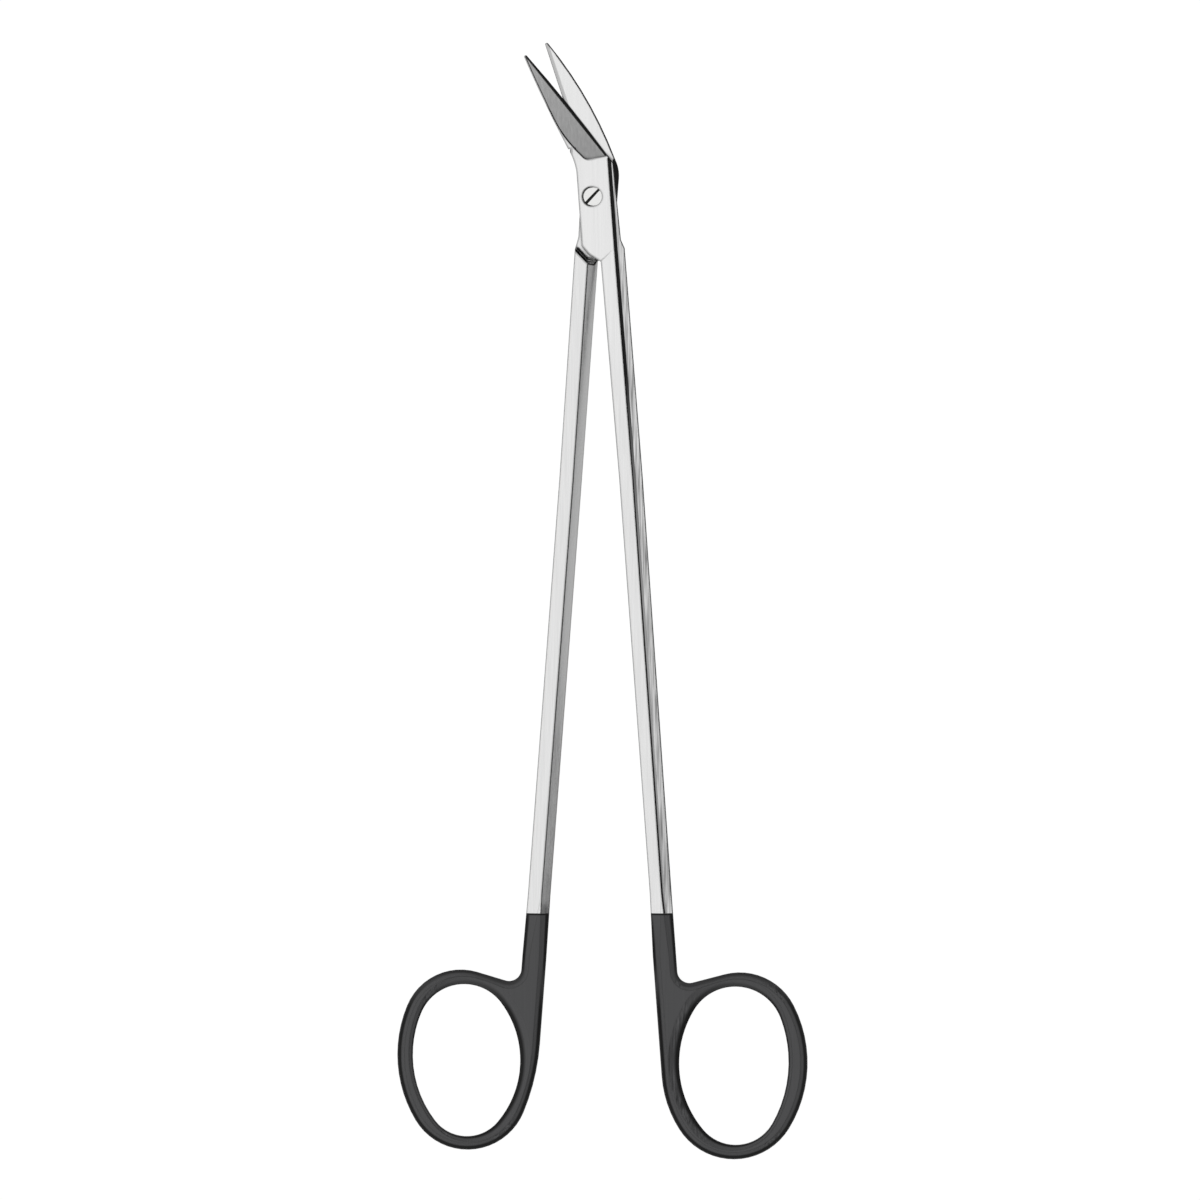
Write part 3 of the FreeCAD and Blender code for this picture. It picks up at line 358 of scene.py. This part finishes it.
def screwFinish(name, look):
    material, tree = newMaterial(name)
    coords = addNode(tree, "ShaderNodeTexCoord").outputs["Object"]
    place = addNode(tree, "ShaderNodeSeparateXYZ", links={"Vector": coords}).outputs
    rings = addNode(tree, "ShaderNodeTexWave", {
        "wave_type": "RINGS", "rings_direction": "Z", "Detail": 2.0, "Distortion": look["ringSway"],
        "Scale": 2 * math.pi / waveTurn / look["ringWidth"],
    }, {"Vector": coords}).outputs["Fac"]
    rounded = addNode(tree, "ShaderNodeBevel", {"samples": 8, "Radius": look["edgeRound"]}).outputs[0]
    surface = addNode(tree, "ShaderNodeNewGeometry").outputs["Normal"]
    agreement = addNode(tree, "ShaderNodeVectorMath", {"operation": "DOT_PRODUCT"},
                        {0: surface, 1: rounded}).outputs["Value"]
    # to the right the edge of the head is shaded as if it were level, and mirrors the light above; its
    # painted dark line fades there too
    faded = mask(tree, place["X"], look["fadeSpan"])
    edgeFloor = addNode(tree, "ShaderNodeMapRange", {
        "To Min": look["edgeShades"][0], "To Max": look["edgeShades"][1],
    }, {"Value": faded}).outputs[0]
    edgeShare = addNode(tree, "ShaderNodeMapRange", {
        "From Min": look["edgeTurn"][0], "From Max": look["edgeTurn"][1], "To Min": 1.0,
    }, {"Value": agreement, "To Max": edgeFloor}).outputs[0]
    upward = addNode(tree, "ShaderNodeVectorTransform", {
        "vector_type": "VECTOR", "convert_from": "OBJECT", "convert_to": "WORLD", "Vector": (0.0, 0.0, 1.0),
    }).outputs[0]
    smooth = addNode(tree, "ShaderNodeMix", {"data_type": "VECTOR"},
                     {"Factor": faded, 4: rounded, 5: upward}).outputs[1]
    # painted shade: the floor of the slot is darkened in colour
    slotShare = addNode(tree, "ShaderNodeMapRange", {
        "From Min": look["slotHeights"][0], "From Max": look["slotHeights"][1],
        "To Min": 1.0, "To Max": look["slotShade"],
    }, {"Value": place["Z"]}).outputs[0]
    plain = addNode(tree, "ShaderNodeRGB")
    plain.outputs[0].default_value = linear(look["steel"])
    colour = addNode(tree, "ShaderNodeVectorMath", {"operation": "SCALE"}, {
        0: plain.outputs[0], "Scale": combined(tree, "MULTIPLY", [edgeShare, slotShare]),
    })
    bump = addNode(tree, "ShaderNodeBump", {"Distance": look["ringDepth"], "Strength": 1.0},
                   {"Height": rings, "Normal": smooth})
    shader = addNode(tree, "ShaderNodeBsdfPrincipled", {"Roughness": look["rough"], "Metallic": 1.0},
                     {"Base Color": colour.outputs[0], "Normal": bump.outputs[0]})
    addNode(tree, "ShaderNodeOutputMaterial", links={"Surface": shader.outputs[0]})
    return material


dress("pivot_screw", screwFinish("turned steel screw", screwLook))
print("screw finished")

# The table: matt white paper that shows as plain white, with a soft shadow of the scissors.
tableLook = {
    "size": 3.0,
    "paper": "#E7E7E7",
    "whiteShare": 0.94,       # how much of what the camera and the steel see of it is plain white
    "white": 1.05,            # that white's strength in the picture
    "mirroredWhite": 0.54,    # and in the steel
}
half = tableLook["size"] / 2
mesh = bpy.data.meshes.new("table")
corners = [(-half, -half, 0), (half, -half, 0), (half, half, 0), (-half, half, 0)]
mesh.from_pydata(corners, [], [(0, 1, 2, 3)])
table = bpy.data.objects.new("table", mesh)
bpy.context.scene.collection.objects.link(table)
material, tree = newMaterial("white paper table")
path = addNode(tree, "ShaderNodeLightPath")
paper = addNode(tree, "ShaderNodeBsdfDiffuse", {"Color": linear(tableLook["paper"])})
strength = addNode(tree, "ShaderNodeMix", {
    "data_type": "FLOAT", 2: tableLook["mirroredWhite"], 3: tableLook["white"],
}, {"Factor": path.outputs["Is Camera Ray"]})
glow = addNode(tree, "ShaderNodeEmission", {"Color": linear("#FFFFFF")}, {"Strength": strength.outputs[0]})
shown = addNode(tree, "ShaderNodeMath", {"operation": "ADD", "use_clamp": True},
                {0: path.outputs["Is Camera Ray"], 1: path.outputs["Is Glossy Ray"]})
share = addNode(tree, "ShaderNodeMath", {"operation": "MULTIPLY", 1: tableLook["whiteShare"]},
                {0: shown.outputs[0]})
mixed = addNode(tree, "ShaderNodeMixShader",
                links={0: share.outputs[0], 1: paper.outputs[0], 2: glow.outputs[0]})
addNode(tree, "ShaderNodeOutputMaterial", links={"Surface": mixed.outputs[0]})
mesh.materials.append(material)

# The studio: a tent that is brighter on the left, with a darker horizon. Each pair is a
# direction from the far left (-1) to the far right (1), and how bright it is there.
tentLook = {
    "tent": [(-0.4, 0.97), (-0.05, 1.03), (0.12, 1.03), (0.42, 0.38), (0.6, 0.4), (0.85, 0.72)],
    "horizon": [(-0.3, 0.22), (0.0, 0.1), (0.4, 0.32)],
    "rise": (0.08, 0.32),     # upward part of the direction, from the horizon to the tent
}
world = bpy.data.worlds.new("studio tent")
world.use_nodes = True
tree = world.node_tree
tree.nodes.clear()
direction = addNode(tree, "ShaderNodeTexCoord").outputs["Generated"]
direction = addNode(tree, "ShaderNodeSeparateXYZ", links={"Vector": direction}).outputs
spread = mask(tree, direction["X"], (-1.0, 1.0))
levels = []
for steps in (tentLook["tent"], tentLook["horizon"]):
    ramp = addNode(tree, "ShaderNodeValToRGB", links={"Fac": spread})
    stops = ramp.color_ramp.elements
    for number, (side, bright) in enumerate(steps):
        position = side / 2 + 0.5    # from -1..1 to the ramp's 0..1
        stop = stops[0] if number == 0 else stops.new(position)
        stop.position = position
        stop.color = (bright, bright, bright, 1.0)
    stops.remove(stops[-1])    # the ramp's own white end
    levels.append(ramp.outputs["Color"])
rise = addNode(tree, "ShaderNodeMapRange", {
    "interpolation_type": "SMOOTHSTEP", "From Min": tentLook["rise"][0], "From Max": tentLook["rise"][1],
}, {"Value": direction["Z"]})
strength = addNode(tree, "ShaderNodeMix", {"data_type": "FLOAT"},
                   {"Factor": rise.outputs[0], 2: levels[1], 3: levels[0]})
path = addNode(tree, "ShaderNodeLightPath")
seen = addNode(tree, "ShaderNodeMix", {"data_type": "FLOAT", 3: 1.0},
               {"Factor": path.outputs["Is Camera Ray"], 2: strength.outputs[0]})
background = addNode(tree, "ShaderNodeBackground", {"Color": linear("#FFFFFF")},
                     {"Strength": seen.outputs[0]})
addNode(tree, "ShaderNodeOutputWorld", links={"Surface": background.outputs[0]})
bpy.context.scene.world = world

# one soft box, above and to the left
lampLook = {"size": (0.7, 0.9), "power": 1.2, "place": (-0.75, 0.1, 0.75), "aim": (0.0, -0.07, 0.0)}
lamp = bpy.data.lights.new("soft box", "AREA")
lamp.shape = "RECTANGLE"
lamp.size, lamp.size_y = lampLook["size"]
lamp.energy = lampLook["power"]
box = bpy.data.objects.new("soft box", lamp)
box.location = lampLook["place"]
box.rotation_euler = (Vector(lampLook["aim"]) - box.location).to_track_quat("-Z", "Y").to_euler()
box.visible_glossy = False    # the tent alone is mirrored in the steel
bpy.context.scene.collection.objects.link(box)

# the camera looks straight down, and the frame's width is measured at the top of the part
view = {"frameWidth": 0.204, "lens": 300.0, "sensor": 36.0, "middle": (0.00131, -0.0686), "clipStart": 0.01}
partTop = cadBox[1][2]
camera = bpy.data.cameras.new("camera")
camera.sensor_width = view["sensor"]
camera.sensor_fit = "HORIZONTAL"
camera.lens = view["lens"]
camera.clip_start = view["clipStart"]
eye = bpy.data.objects.new("camera", camera)
eye.location = (*view["middle"], view["frameWidth"] * view["lens"] / view["sensor"] + partTop)
bpy.context.scene.collection.objects.link(eye)
bpy.context.scene.camera = eye

bpy.context.scene.view_settings.view_transform = "Standard"
print("table, light and camera set")
